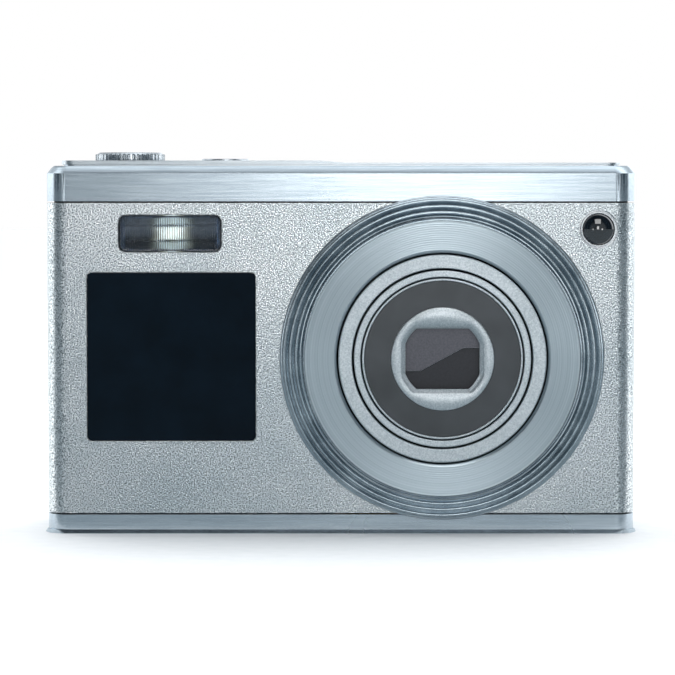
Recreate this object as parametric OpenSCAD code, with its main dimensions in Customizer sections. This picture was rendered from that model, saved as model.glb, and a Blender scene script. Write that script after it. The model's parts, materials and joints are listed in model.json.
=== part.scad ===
// Compact digital camera: front faces -Y, +X is the viewer's right, +Z is up.
// The origin is at the middle of the base.

/* [Body] */
// Width of the body across its sides
body_w = 110; // [110:0.5:112]
// Depth of the body from its front panel to its rear panel
shell_d = 29; // [29:0.5:30]
// How far the lens nose stands in front of the front panel
nose_proud = 4; // [4:0.1:4.4]
// How far the thumb rest stands behind the rear panel
thumb_proud = 1; // [0.8:0.1:1.2]
// Radius of the upright corners
corner_r = 4; // [3.8:0.1:4.4]
// Wall thickness of the covers
wall = 1.2; // [1.1:0.05:1.25]

/* [Height bands] */
// Height of the bottom cover
bottom_h = 3.5; // [3.4:0.1:3.6]
// Height at which the top cover starts
top_cover_z = 62; // [61.8:0.1:62.2]
// Height of the top cover's flat roof
roof_z = 68.6; // [68.4:0.1:68.8]
// Height of the raised left part of the top plate
deck_z = 69.6; // [69.5:0.1:70]
// Gap between two covers at a seam
seam = 0.3; // [0.2:0.05:0.35]
// How far the foot stands out round the base
foot_flare = 0.5; // [0.3:0.1:0.6]

/* [Lens] */
// Lens axis, to the right of the middle
lens_x = 18.8; // [18.6:0.1:19]
// Lens axis, above the base
lens_z = 32.85; // [32.8:0.05:33]
// Outer radius of the lens bezel
bezel_r = 30.2; // [30:0.1:30.4]
// Radius between the ridged rim and the turned trim ring
trim_r = 25.7; // [25.5:0.1:25.8]
// Radius of the hole that the lens comes out of
bezel_bore_r = 19.65; // [19.6:0.05:19.7]
// Outer radius of the outer barrel
outer_r = 19.3; // [19.2:0.05:19.35]
// Outer radius of the middle barrel
middle_r = 16.4; // [16.3:0.05:16.45]
// Outer radius of the inner barrel
inner_r = 14.9; // [14.85:0.05:14.95]
// Radius of the nose plate
nose_r = 9.56; // [9.4:0.02:9.6]
// Radius of the pivot holes' pins in the barrier
blade_pin_r = 0.5; // [0.4:0.05:0.6]

/* [Front windows] */
// Width of the flash window
flash_w = 19.2; // [18.8:0.1:19.4]
// Height of the flash window
flash_h = 6.9; // [6.7:0.1:7]
// Side of the front screen window
front_screen = 31.4; // [31:0.1:31.6]
// Radius of the lamp lens
lamp_r = 2.98; // [2.9:0.02:3]

/* [Top controls] */
// Radius of the mode dial
dial_r = 6.6; // [6.4:0.1:6.7]
// Number of ribs round the mode dial
dial_ribs = 45; // [36:1:50]
// Radius of the shutter button
shutter_r = 4.5; // [4.3:0.1:4.6]
// Radius of the power button
power_r = 2.6; // [2.4:0.1:2.7]

/* [Rear controls] */
// Width of the rear screen window
rear_screen_w = 64; // [63:0.5:64]
// Height of the rear screen window
rear_screen_h = 47; // [46:0.5:47]
// Radius of the navigation ring
nav_r = 9.5; // [9.3:0.1:9.6]
// Radius of the OK button
ok_r = 4; // [3.8:0.1:4.1]
// Radius of the playback and menu buttons
small_button_r = 2.6; // [2.4:0.1:2.7]

/* [Gears] */
// Tooth module of the lens drive
tooth_module = 0.35; // [0.35:0.01:0.35]
// Teeth on the cam ring
cam_teeth = 120; // [120:1:120]
// Teeth on the reduction gear
gear_teeth = 24; // [24:1:24]
// Teeth on the motor pinion
pinion_teeth = 10; // [10:1:10]

/* [Battery and card] */
// Width of the battery
battery_w = 31.5; // [31:0.1:31.6]
// Height of the battery
battery_h = 39.5; // [38:0.5:40]
// Thickness of the battery
battery_t = 6; // [5.8:0.1:6]
// Width of the memory card
card_w = 24; // [24:1:24]
// Height of the memory card
card_h = 32; // [32:1:32]
// Thickness of the memory card
card_t = 2.1; // [2.1:0.1:2.1]

/* [Tripod socket] */
// Minor radius of the quarter-inch tripod thread
tripod_hole_r = 2.55; // [2.55:0.01:2.6]
// Depth of the tripod thread
tripod_depth = 5.8; // [5.5:0.1:6]

/* [Hidden] */
$fn = 96;

front_y = nose_proud - (shell_d + nose_proud + thumb_proud) / 2;
rear_y = front_y + shell_d;
mid_y = (front_y + rear_y) / 2;
front_in = front_y + wall;
rear_in = rear_y - wall;
side_x = body_w / 2;
split_y = 1;
mid_z = bottom_h + seam;
mid_h = top_cover_z - seam - mid_z;

// Places of the windows and controls
flash_x = -31.8;
flash_z = 56;
front_screen_x = -31.6;
front_screen_z = 33.05;
lamp_x = 47.9;
lamp_z = 56.8;
dial_x = -40.2;
controls_y = 1.5;
shutter_x = -22;
power_x = -9.5;
rear_screen_x = 14;
rear_screen_z = 33;
keys_x = -38;
nav_z = 27;
pad_back_y = 12.95;
small_button_z = 44;
rocker_z = 54.5;
rocker_pivot_y = 14;
lug_y = 8;
lug_z = 52;
port_y = 7;
port_z = 29;
port_pivot = [54.4, 9.7];
tripod_x = 5;
tripod_y = 1.5;

// Battery bay and its door
bay_x = -34.2;
battery_y = -5;
battery_z = 4.4;
card_y = 1.25;
door_x0 = -50.4;
door_x1 = -18;
door_y0 = -9.4;
door_y1 = 5;
door_t = 1.2;
door_pivot_y = 7.2;
door_pivot_z = 1.5;
knuckle_r = 1.42;
knuckle_x0 = -46;
knuckle_x1 = -22.4;
door_gap = 0.2;

// Lens drive
drive_turn = 45;
cam_pitch_r = cam_teeth * tooth_module / 2;
gear_pitch_r = gear_teeth * tooth_module / 2;
pinion_pitch_r = pinion_teeth * tooth_module / 2;
gear_reach = cam_pitch_r + gear_pitch_r;
pinion_reach = gear_reach + gear_pitch_r + pinion_pitch_r;
gear_x = lens_x + gear_reach * cos(drive_turn);
gear_z = lens_z - gear_reach * sin(drive_turn);
pinion_x = lens_x + pinion_reach * cos(drive_turn);
pinion_z = lens_z - pinion_reach * sin(drive_turn);
teeth_y0 = 2;
teeth_y1 = 3.6;
gear_pin_r = 0.75;

// Lens barrier
blade_pivot = [12, 1];
blade_swing = 32;
opening_r = 7.4;
opening_w = 13.7;
opening_h = 11.2;
split_low = [-4.05, -2.3];
split_high = [3.9, 2];
chamber_r = 14.5;

// A rounded rectangle about the origin, from squares and circles
module rounded(w, h, r) {
    square([w - 2 * r, h], center = true);
    square([w, h - 2 * r], center = true);
    for (sx = [-1, 1], sy = [-1, 1])
        translate([sx * (w / 2 - r), sy * (h / 2 - r)]) circle(r, $fn = 48);
}

// Extrudes an X-Z outline along Y, from y0 to y1
module along_y(y0, y1) {
    translate([0, y1, 0]) rotate([90, 0, 0]) linear_extrude(y1 - y0) children();
}

// Extrudes a Y-Z outline along X, from x0 to x1
module along_x(x0, x1) {
    translate([x0, 0, 0]) rotate([90, 0, 90]) linear_extrude(x1 - x0) children();
}

// A cylinder along Y between y0 and y1
module rod_y(x, z, r, y0, y1) {
    translate([x, y1, z]) rotate([90, 0, 0]) cylinder(r = r, h = y1 - y0);
}

// A cylinder along X between x0 and x1
module rod_x(y, z, r, x0, x1) {
    translate([x0, y, z]) rotate([0, 90, 0]) cylinder(r = r, h = x1 - x0);
}

// A block from one corner to the opposite one
module block(low, high) {
    translate(low) cube(high - low);
}

// A ring about the lens axis: points are [radius, distance forward of Y = 0]
module turned(points) {
    translate([lens_x, 0, lens_z]) rotate([90, 0, 0]) rotate_extrude() polygon(points);
}

// Plan outline of the body, drawn in by inset
module plan(inset) {
    translate([0, mid_y])
        rounded(body_w - 2 * inset, shell_d - 2 * inset, corner_r - inset);
}

// Plan of the upright wall
module wall_plan() {
    difference() {
        plan(0);
        plan(wall);
    }
}

// Outline of a spur gear with straight-sided teeth and backlash
module gear_outline(teeth, turn) {
    pitch_r = teeth * tooth_module / 2;
    tip_r = pitch_r + 0.7 * tooth_module;
    root_r = pitch_r - 1.05 * tooth_module;
    step = 360 / teeth;
    polygon([for (i = [0 : teeth - 1])
        for (corner = [[-0.27, root_r], [-0.11, tip_r], [0.11, tip_r], [0.27, root_r]])
            corner[1] * [cos(turn + (i + corner[0]) * step), sin(turn + (i + corner[0]) * step)]]);
}

// ---------------------------------------------------------------- covers

// Corner posts that the base screws bite into
screw_xs = [-12, 46];
front_screw_y = front_in + 2;
rear_screw_y = rear_in - 2;
screw_r = 0.7;
post_h = 6;

module screw_post(x, y) {
    translate([x, y, mid_z]) cylinder(r = 2.2, h = post_h);
}

module screw_pilot(x, y) {
    translate([x, y, mid_z - 1]) cylinder(r = screw_r, h = 6);
}

module front_cover() {
    color("silver") difference() {
        union() {
            translate([0, 0, mid_z]) linear_extrude(mid_h) intersection() {
                wall_plan();
                translate([-body_w, front_y - 1]) square([2 * body_w, split_y - front_y + 1]);
            }
            for (x = screw_xs) screw_post(x, front_screw_y);
        }
        for (x = screw_xs) screw_pilot(x, front_screw_y);
        rod_y(lens_x, lens_z, 22.9, front_y - 1, front_in + 1);
        translate([flash_x, 0, flash_z]) {
            along_y(front_y - 1, front_y + 0.8) rounded(flash_w + 0.2, flash_h + 0.2, 1.5);
            along_y(front_y - 1, front_in + 1) rounded(flash_w - 0.8, flash_h - 0.6, 1.1);
        }
        translate([front_screen_x, 0, front_screen_z]) {
            along_y(front_y - 1, front_y + 0.8)
                rounded(front_screen + 0.2, front_screen + 0.2, 1);
            along_y(front_y - 1, front_in + 1)
                rounded(front_screen - 1.6, front_screen - 1.6, 0.6);
        }
        rod_y(lamp_x, lamp_z, 3.6, front_y - 1, front_in + 1);
    }
}

module rear_key_holes() {
    rod_y(keys_x, nav_z, nav_r + 0.35, rear_in - 1, rear_y + 1);
    for (x = [-6.5, 6.5])
        rod_y(keys_x + x, small_button_z, small_button_r + 0.2, rear_in - 1, rear_y + 1);
    translate([keys_x, 0, rocker_z])
        along_y(rear_in - 1, rear_y + 1) rounded(14.7, 5.6, 2.6);
}

module rear_screen_hole() {
    translate([rear_screen_x, 0, rear_screen_z]) {
        along_y(rear_y - 0.8, rear_y + 1)
            rounded(rear_screen_w + 0.2, rear_screen_h + 0.2, 1.6);
        along_y(rear_in - 1, rear_y + 1)
            rounded(rear_screen_w - 2, rear_screen_h - 2, 1);
    }
}

module strap_lug_block() {
    block([-side_x + 0.6, lug_y - 3.5, lug_z - 4], [-side_x + 4.2, lug_y + 3.5, lug_z + 4]);
}

module strap_lug_pocket() {
    block([-side_x - 1, lug_y - 2.5, lug_z - 3], [-side_x + 3, lug_y + 2.5, lug_z + 3]);
}

module strap_lug_bar() {
    translate([-side_x + 0.95, lug_y, lug_z - 3.5]) cylinder(r = 0.9, h = 7);
}

module port_recess() {
    block([side_x - 0.9, port_pivot[1] - 5.5, port_z - 5.7],
        [side_x + 1, port_pivot[1] + 0.9, port_z + 5.7]);
    block([side_x - wall - 1, port_y - 2.2, port_z - 5.2],
        [side_x + 1, port_y + 1.9, port_z + 5.2]);
    translate([port_pivot[0], port_pivot[1], port_z]) {
        cylinder(r = 0.75, h = 11.4, center = true);
        cylinder(r = 0.42, h = 13.6, center = true);
    }
}

module port_hinge_block() {
    block([side_x - 2.4, port_pivot[1] - 1.2, port_z - 8],
        [side_x - 0.8, port_pivot[1] + 1.6, port_z + 8]);
}

module rear_cover() {
    color("silver") difference() {
        union() {
            translate([0, 0, mid_z]) linear_extrude(mid_h) intersection() {
                wall_plan();
                translate([-body_w, split_y + seam]) square([2 * body_w, shell_d]);
            }
            for (x = screw_xs) screw_post(x, rear_screw_y);
            translate([-50.4, 0, 43]) along_y(rear_in + 0.2, rear_y + thumb_proud)
                rounded(1.8, 22, 0.8);
            difference() {
                strap_lug_block();
                strap_lug_pocket();
            }
            port_hinge_block();
        }
        for (x = screw_xs) screw_pilot(x, rear_screw_y);
        rear_screen_hole();
        rear_key_holes();
        difference() {
            strap_lug_pocket();
            strap_lug_bar();
        }
        port_recess();
        side_screw_holes();
    }
}

// Side screws hold the rear cover to the chassis frame
side_screw_y = 5.5;
side_screw_zs = [10, 40];

module side_screw_holes() {
    for (z = side_screw_zs) {
        rod_x(side_screw_y, z, 1.35, -side_x - 1, -side_x + 0.5);
        rod_x(side_screw_y, z, screw_r + 0.1, -side_x - 1, -side_x + 2);
    }
}

module top_cover() {
    chamfer_z = 67.2;
    color("lightsteelblue") difference() {
        union() {
            translate([0, 0, top_cover_z]) linear_extrude(chamfer_z - top_cover_z) wall_plan();
            hull($fn = 32) {
                translate([0, 0, chamfer_z - 0.01]) linear_extrude(0.01) plan(0);
                translate([0, 0, roof_z - 0.4]) linear_extrude(0.01) plan(0.8);
                translate([0, 0, roof_z - 0.01]) linear_extrude(0.01) plan(1.3);
            }
        }
        translate([dial_x, controls_y, 60]) cylinder(r = 1.6, h = 20);
        translate([shutter_x, controls_y, 60]) cylinder(r = 1.7, h = 20);
        translate([power_x, controls_y, 60]) cylinder(r = 1.2, h = 20);
        translate([0, 0, 66]) linear_extrude(1.4) plan(2.6);
    }
}

// Speaker and microphone holes in the right-hand part of the top plate
sound_hole_r = 0.45;
sound_pitch = 1.6;

module top_plate() {
    low_z = 69.2;
    plate_w = 104.6;
    plate_d = 24.6;
    color("gainsboro") difference() {
        union() {
            translate([0, mid_y, roof_z]) linear_extrude(0.3)
                rounded(plate_w - 0.8, plate_d - 0.8, 2.2);
            intersection() {
                translate([0, mid_y, roof_z + 0.25]) linear_extrude(5)
                    rounded(plate_w, plate_d, 2.6);
                along_y(front_y, rear_y) polygon([
                    [-60, roof_z], [-60, deck_z], [-4, deck_z], [0.7, low_z],
                    [60, low_z], [60, roof_z]]);
            }
        }
        translate([dial_x, controls_y, 60]) cylinder(r = 1.56, h = 20);
        translate([shutter_x, controls_y, 60]) cylinder(r = shutter_r + 0.2, h = 20);
        translate([power_x, controls_y, 60]) cylinder(r = power_r + 0.2, h = 20);
        for (i = [-2 : 2], j = [-1 : 1])
            translate([30 + i * sound_pitch, controls_y + j * sound_pitch, 60])
                cylinder(r = sound_hole_r, h = 20, $fn = 24);
    }
}

module bottom_cover() {
    color("lightsteelblue") difference() {
        union() {
            linear_extrude(bottom_h) wall_plan();
            linear_extrude(wall) plan(0.5);
            linear_extrude(0.7) plan(-foot_flare);
            for (x = screw_xs, y = [front_screw_y, rear_screw_y])
                translate([x, y, 0.5]) cylinder(r = 2.6, h = bottom_h - 0.5);
            bay_rim();
        }
        block([door_x0 - door_gap, door_y0 - door_gap, -1],
            [door_x1 + door_gap, door_pivot_y - 1.6, 10]);
        block([knuckle_x0 - door_gap, door_pivot_y - 2, -1],
            [knuckle_x1 + door_gap, door_pivot_y + 1.8, 10]);
        rod_x(door_pivot_y, door_pivot_z, door_pin_r, knuckle_x0 - 3, knuckle_x1 + 3);
        translate([tripod_x, tripod_y, -1]) cylinder(r = 5.06, h = 10);
        for (x = screw_xs, y = [front_screw_y, rear_screw_y])
            translate([x, y, 0]) {
                translate([0, 0, -1]) cylinder(r = 1.5, h = 2);
                cylinder(r = screw_r + 0.1, h = 10);
            }
        block([door_x0 + 12, door_y0 - 1.2, 1.35], [door_x0 + 20.4, door_y0, 2.45]);
    }
}

door_pin_r = 0.6;

// Rim round the battery opening, with the two ears that carry the hinge pin
module bay_rim() {
    block([door_x0 - 1.2, door_y0 - 1.2, 0.5], [door_x1 + 1.2, door_pivot_y + 2.6, 3]);
}

// ---------------------------------------------------------------- chassis

module chassis_frame() {
    plate_y0 = 9.4;
    plate_y1 = 10.1;
    bay_x0 = bay_x - battery_w / 2 - 0.2;
    bay_x1 = bay_x + battery_w / 2 + 0.2;
    bay_y0 = battery_y - battery_t / 2 - 0.15;
    bay_y1 = battery_y + battery_t / 2 + 0.15;
    bay_top = battery_z + battery_h + 0.2;
    color("dimgray") difference() {
        union() {
            block([-50.6, plate_y0, 10], [50, plate_y1, 58]);
            block([bay_x0 - 0.6, bay_y0 - 0.6, battery_z], [bay_x1 + 0.6, bay_y1 + 0.6, bay_top + 0.6]);
            block([bay_x0 - 1.6, bay_y1, 10], [bay_x0 - 0.1, plate_y1, bay_top + 0.6]);
            block([bay_x0, bay_y1, bay_top], [bay_x1, plate_y1, bay_top + 0.6]);
            for (x = [-31.8, -25.7])
                block([x, bay_y1 - 0.2, 2.6], [x + 0.5, bay_y1 + 0.6, battery_z + 0.5]);
        }
        block([bay_x0, bay_y0, -1], [bay_x1, bay_y1, bay_top]);
        for (z = side_screw_zs) rod_x(side_screw_y, z, screw_r, -60, -45);
        rod_y(-20, 54, 3, 0, 20);
        rod_y(46, 14, 2.5, 0, 20);
    }
}

module case_screws() {
    color("gray") {
        for (x = screw_xs, y = [front_screw_y, rear_screw_y])
            translate([x, y, 0.25]) screw_up();
        for (z = side_screw_zs)
            translate([-side_x + 0.05, side_screw_y, z]) rotate([0, 90, 0]) side_screw();
    }
}

module screw_up() {
    difference() {
        cylinder(r = 1.35, h = 0.7);
        screw_cross();
    }
    translate([0, 0, 0.7]) cylinder(r = screw_r, h = 6.2);
}

module side_screw() {
    difference() {
        cylinder(r = 1.3, h = 0.45);
        screw_cross();
    }
    translate([0, 0, 0.45]) cylinder(r = screw_r, h = 4);
}

module screw_cross() {
    for (turn = [0, 90]) rotate(turn) cube([1.5, 0.34, 0.7], center = true);
}

module tripod_socket() {
    color("goldenrod") translate([tripod_x, tripod_y, 0.05]) difference() {
        union() {
            cylinder(r = 5, h = wall - 0.05);
            translate([0, 0, wall]) cylinder(r = 6.5, h = 1);
            translate([0, 0, wall - 0.1]) cylinder(r = 4.4, h = 5.9);
        }
        translate([0, 0, -1]) cylinder(r = tripod_hole_r, h = tripod_depth + 1);
    }
}

// ---------------------------------------------------------------- lens, fixed parts

module lens_bezel() {
    back = -front_y;
    seat = back + 2.5;
    ridge_gap = 1.12;
    first_ridge_r = 29.36;
    first_ridge_h = back + 1.5;
    ridge_rise = 0.42;
    color("slategray") turned(concat(
        [[bezel_bore_r, back], [bezel_r, back], [bezel_r, back + 0.85], [bezel_r - 0.15, back + 1]],
        [for (i = [0 : 2])
            for (step = [[0.34, -0.45], [0.22, 0], [-0.16, 0.06], [-0.34, -0.35]])
                [first_ridge_r - i * ridge_gap + step[0], first_ridge_h + i * ridge_rise + step[1]]],
        [[trim_r + 0.5, back + 2.6], [trim_r + 0.1, back + 3.2], [trim_r - 0.1, back + 3.2],
            [trim_r - 0.1, seat], [bezel_bore_r, seat]]));
}

module lens_trim_ring() {
    back = -front_y + 2.5;
    color("lightslategray") turned([
        [bezel_bore_r, back], [trim_r - 0.15, back], [trim_r - 0.15, back + 0.6],
        [bezel_bore_r + 0.5, back + 0.6], [bezel_bore_r, back + 0.3]]);
}

module lens_housing() {
    back = 7.9;
    color("darkslategray") difference() {
        union() {
            turned([[21.5, -back], [22.6, -back], [22.6, 11.7], [21.5, 11.7]]);
            rod_y(lens_x, lens_z, 22.6, back - 1, back);
            rod_y(gear_x, gear_z, 2.2, teeth_y1 + 0.3, back);
            hull($fn = 32) {
                rod_y(gear_x, gear_z, 2, back - 1, back);
                rod_y(lens_x + 14, lens_z - 14, 2, back - 1, back);
            }
            rod_y(gear_x, gear_z, gear_pin_r, teeth_y0 - 0.6, teeth_y1 + 1);
        }
        translate([lens_x, 0, lens_z]) along_y(back - 2, back + 1) square([14, 12], center = true);
        difference() {
            rod_y(gear_x, gear_z, gear_pitch_r + 0.7, teeth_y0 - 0.3, teeth_y1 + 0.3);
            rod_y(gear_x, gear_z, gear_pin_r, teeth_y0 - 2, teeth_y1 + 2);
        }
    }
}

module cam_ring() {
    color("dimgray") {
        turned([[19.65, -teeth_y1], [20.3, -teeth_y1], [20.3, 11.4], [19.65, 11.4]]);
        translate([lens_x, 0, lens_z]) along_y(teeth_y0, teeth_y1) difference() {
            gear_outline(cam_teeth, -drive_turn);
            circle(20.1);
        }
    }
}

module guide_rods() {
    color("gainsboro") for (side = [-1, 1])
        rod_y(lens_x + side * 11, lens_z, 0.6, -2.4, 6.9);
}

module sensor_plate() {
    color("silver") translate([lens_x, 0, lens_z]) along_y(7.9, 8.7) rounded(30, 26, 2);
}

module image_sensor() {
    color("midnightblue") translate([lens_x, 0, lens_z]) along_y(6.6, 7.9) square([12, 10], center = true);
}

module zoom_motor() {
    color("gainsboro") difference() {
        rod_y(pinion_x, pinion_z, 5, -7, 1.4);
        rod_y(pinion_x, pinion_z, 0.55, 0.4, 2);
    }
}

module motor_pinion() {
    color("goldenrod") {
        rod_y(pinion_x, pinion_z, 0.5, 0.45, teeth_y0 + 0.2);
        translate([pinion_x, 0, pinion_z]) along_y(teeth_y0, teeth_y1)
            gear_outline(pinion_teeth, 180 - drive_turn);
    }
}

module reduction_gear() {
    color("white") translate([gear_x, 0, gear_z]) along_y(teeth_y0, teeth_y1) difference() {
        gear_outline(gear_teeth, 180 - drive_turn + 180 / gear_teeth);
        circle(gear_pin_r + 0.05);
    }
}

// ---------------------------------------------------------------- lens, moving parts

module outer_barrel() {
    color("silver") turned([
        [outer_r - 1, -3], [outer_r, -3], [outer_r, 16.15], [outer_r - 0.2, 16.35],
        [middle_r + 0.5, 16.35], [middle_r + 0.35, 16.2], [middle_r + 0.35, 15.3],
        [outer_r - 1, 15.3]]);
}

module middle_barrel() {
    color("gainsboro") turned([
        [middle_r - 0.8, -2], [middle_r, -2], [middle_r, 16.45], [middle_r - 0.15, 16.6],
        [inner_r + 0.4, 16.6], [inner_r + 0.25, 16.45], [inner_r + 0.25, 15.5],
        [middle_r - 0.8, 15.5]]);
}

module inner_barrel() {
    color("silver") difference() {
        union() {
            turned([
                [13.9, -1], [inner_r, -1], [inner_r, 16.55], [inner_r - 0.15, 16.7],
                [chamber_r + 0.1, 16.7], [chamber_r, 16.6], [chamber_r, 14.2], [7, 14.2],
                [7, 13.4], [13.9, 13.4]]);
            for (side = [-1, 1])
                rod_y(lens_x + side * blade_pivot[0], lens_z + side * blade_pivot[1],
                    blade_pin_r, -15.55, -14);
        }
        for (turn = [0 : 120 : 240])
            translate([lens_x, 0, lens_z]) rotate([0, turn, 0])
                block([-0.6, -10, 13], [0.6, -8, 14.2]);
    }
}

module front_ring() {
    color([0.3, 0.31, 0.33]) turned([
        [nose_r + 0.04, 16.1], [chamber_r - 0.05, 16.1], [chamber_r - 0.05, 16.5],
        [nose_r + 0.04, 16.5]]);
}

// The nose opening: a circle with its top, bottom and sides cut straight
module nose_opening(grow) {
    intersection() {
        circle(opening_r + grow);
        square([opening_w + 2 * grow, opening_h + 2 * grow], center = true);
    }
}

module nose_plate() {
    color("silver") difference() {
        turned([
            [0, 15.7], [nose_r + 0.9, 15.7], [nose_r + 0.9, 16.05], [nose_r, 16.05],
            [nose_r, 16.85], [nose_r - 0.15, 17], [0, 17]]);
        translate([lens_x, 0, lens_z]) {
            along_y(-18, -15) nose_opening(0);
            hull($fn = 32) {
                along_y(-16.21, -16.2) nose_opening(0.02);
                along_y(-17.02, -17) nose_opening(0.8);
            }
        }
    }
}

// The half of the opening that the upper blade covers, with its arm to the pivot
module blade_outline() {
    difference() {
        intersection() {
            union() {
                intersection() {
                    circle(opening_r + 0.6);
                    polygon([
                        [-9, split_low[1]], split_low, split_high, [9, split_high[1]],
                        [9, 9], [-9, 9]]);
                }
                polygon([[4, 2], [7, 2], [11.6, -0.4], [12.8, 2.3], [6.6, 4.4]]);
                translate(blade_pivot) circle(1.4, $fn = 32);
            }
            circle(chamber_r - 0.25);
            translate(blade_pivot) rotate(blade_swing) translate(-blade_pivot)
                circle(chamber_r - 0.25);
        }
        translate(blade_pivot) circle(blade_pin_r + 0.06, $fn = 32);
    }
}

module barrier_blade_upper() {
    color("dimgray") translate([lens_x, 0, lens_z]) along_y(-15.35, -15) blade_outline();
}

// The lower blade runs on under the upper one by a small overlap
module barrier_blade_lower() {
    color([0.17, 0.18, 0.21]) translate([lens_x, 0, lens_z]) along_y(-14.8, -14.45)
        rotate(180) blade_outline();
}

module front_lens() {
    color("lightcyan") intersection() {
        rod_y(lens_x, lens_z, 6.9, -13.9, -10.5);
        translate([lens_x, 1.2, lens_z]) sphere(15);
    }
}

module zoom_carrier() {
    color([0.12, 0.12, 0.13]) turned([
        [5.6, 3.2], [13.4, 3.2], [13.4, 4.6], [7.4, 4.6], [7.4, 5.8], [5.6, 5.8]]);
}

module zoom_lens() {
    color("lightcyan") rod_y(lens_x, lens_z, 5.6, -5.4, -3.4);
}

module focus_carrier() {
    color([0.12, 0.12, 0.13]) translate([lens_x, 0, lens_z]) along_y(2.6, 4.6) difference() {
        union() {
            circle(7);
            square([24.4, 3.4], center = true);
        }
        circle(5);
        for (side = [-1, 1]) translate([side * 11, 0]) circle(0.66);
    }
}

module focus_lens() {
    color("lightcyan") rod_y(lens_x, lens_z, 5, 2.8, 4.4);
}

// ---------------------------------------------------------------- flash, screens, lamp

module flash_window() {
    rib_pitch = 0.8;
    color("slategray") translate([flash_x, 0, flash_z]) difference() {
        along_y(front_y + 0.1, front_y + 0.8) rounded(flash_w, flash_h, 1.4);
        for (i = [-11 : 11])
            translate([i * rib_pitch, 0, 0])
                along_y(front_y, front_y + 0.25) square([0.3, flash_h - 1.2], center = true);
    }
}

module flash_reflector() {
    tube_y = -7.3;
    color("silver") difference() {
        block([flash_x - 9.4, -11.8, flash_z - 3.4], [flash_x + 9.4, -5.2, flash_z + 3.4]);
        along_x(flash_x - 8.6, flash_x + 8.6) polygon([
            [-13, flash_z - 3], [-11.5, flash_z - 3], [tube_y, flash_z - 1.7],
            [tube_y, flash_z + 1.7], [-11.5, flash_z + 3], [-13, flash_z + 3]]);
        rod_x(tube_y, flash_z, 1.7, flash_x - 8.6, flash_x + 8.6);
        rod_x(tube_y, flash_z, 1.35, flash_x - 12, flash_x + 12);
    }
}

module flash_tube() {
    color("ivory") rod_x(-7.3, flash_z, 1.3, flash_x - 11, flash_x + 11);
}

module flash_capacitor() {
    color("black") translate([47.8, -2, 20]) cylinder(r = 4, h = 28);
}

module front_screen_window() {
    color([0.03, 0.07, 0.12]) translate([front_screen_x, 0, front_screen_z])
        along_y(front_y + 0.15, front_y + 0.8) rounded(front_screen, front_screen, 0.9);
}

module front_display() {
    color("black") translate([front_screen_x, 0, front_screen_z])
        along_y(front_in + 0.1, front_in + 2.4) square([32, 32.6], center = true);
}

module lamp_lens() {
    dome_sphere_r = 4.07;
    color("black") intersection() {
        rod_y(lamp_x, lamp_z, lamp_r, front_y - 1.4, front_in);
        translate([lamp_x, front_y - 1.2 + dome_sphere_r, lamp_z]) sphere(dome_sphere_r);
    }
}

module lamp_ring() {
    color("gainsboro") difference() {
        union() {
            rod_y(lamp_x, lamp_z, 3.3, front_y - 0.1, front_in + 0.6);
            rod_y(lamp_x, lamp_z, 3.9, front_in + 0.15, front_in + 0.6);
        }
        rod_y(lamp_x, lamp_z, lamp_r + 0.02, front_y - 1, front_in);
        rod_y(lamp_x, lamp_z, 2.2, front_y - 1, front_in + 1);
    }
}

module rear_screen_window() {
    color([0.03, 0.03, 0.04]) translate([rear_screen_x, 0, rear_screen_z])
        along_y(rear_y - 0.8, rear_y - 0.05) rounded(rear_screen_w, rear_screen_h, 1.5);
}

module rear_display() {
    color("black") translate([rear_screen_x, 0, rear_screen_z])
        along_y(10.2, 13.4) square([60, 45], center = true);
}

// ---------------------------------------------------------------- boards and power

module main_board() {
    board_y = 4.6;
    color("darkgreen") {
        block([-49.6, board_y, 8], [-6, board_y + 0.9, 43.5]);
        block([-24, board_y + 0.9, 18], [-12, board_y + 2.2, 30]);
        block([-42, board_y + 0.9, 22], [-32, board_y + 2.2, 32]);
        block([-14, board_y - 2.4, 32], [-8, board_y, 38]);
    }
}

module key_board() {
    color("darkgreen") {
        block([-50, 10.2, 14], [-21, 11, 57.5]);
        for (x = [-6.5, 6.5])
            rod_y(keys_x + x, small_button_z, 1.8, 10.9, 12);
        rod_y(keys_x, nav_z, 1.8, 10.9, 12);
    }
}

module battery() {
    color("steelblue") block(
        [bay_x - battery_w / 2, battery_y - battery_t / 2, battery_z],
        [bay_x + battery_w / 2, battery_y + battery_t / 2, battery_z + battery_h]);
}

module battery_catch() {
    color("darkorange") {
        block([-31.2, -3.2, 3], [-25.8, 0.4, 3.9]);
        block([-30.4, -0.4, 2.4], [-26.6, 0.4, 3.2]);
    }
}

module battery_door() {
    color("lightsteelblue") difference() {
        union() {
            block([door_x0, door_y0, 0.05], [door_x1, door_y1, door_t]);
            block([knuckle_x0, door_y1 - 1, 0.09], [knuckle_x1, door_pivot_y, door_t]);
            rod_x(door_pivot_y, door_pivot_z, knuckle_r, knuckle_x0, knuckle_x1);
        }
        rod_x(door_pivot_y, door_pivot_z, door_pin_r + 0.05, knuckle_x0 - 1, knuckle_x1 + 1);
        block([bay_x - 6, door_y0 + 1, -1], [bay_x + 6, door_y0 + 3.2, 0.45]);
        block([bay_x - 2.6, door_y0 + 1.2, 0], [bay_x + 2.6, door_y0 + 5.2, 3]);
    }
}

module battery_door_pin() {
    color("gainsboro") rod_x(door_pivot_y, door_pivot_z, door_pin_r, knuckle_x0 - 3, knuckle_x1 + 3);
}

// The slider in the door: its tongue runs forward under the rim to lock the door
module door_latch() {
    color("slategray") {
        block([bay_x - 2.4, door_y0 + 2.6, 0.1], [bay_x + 2.4, door_y0 + 5, 1.4]);
        block([bay_x - 3.8, door_y0 + 0.3, door_t + 0.15], [bay_x + 3.8, door_y0 + 6, door_t + 0.95]);
    }
}

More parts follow.
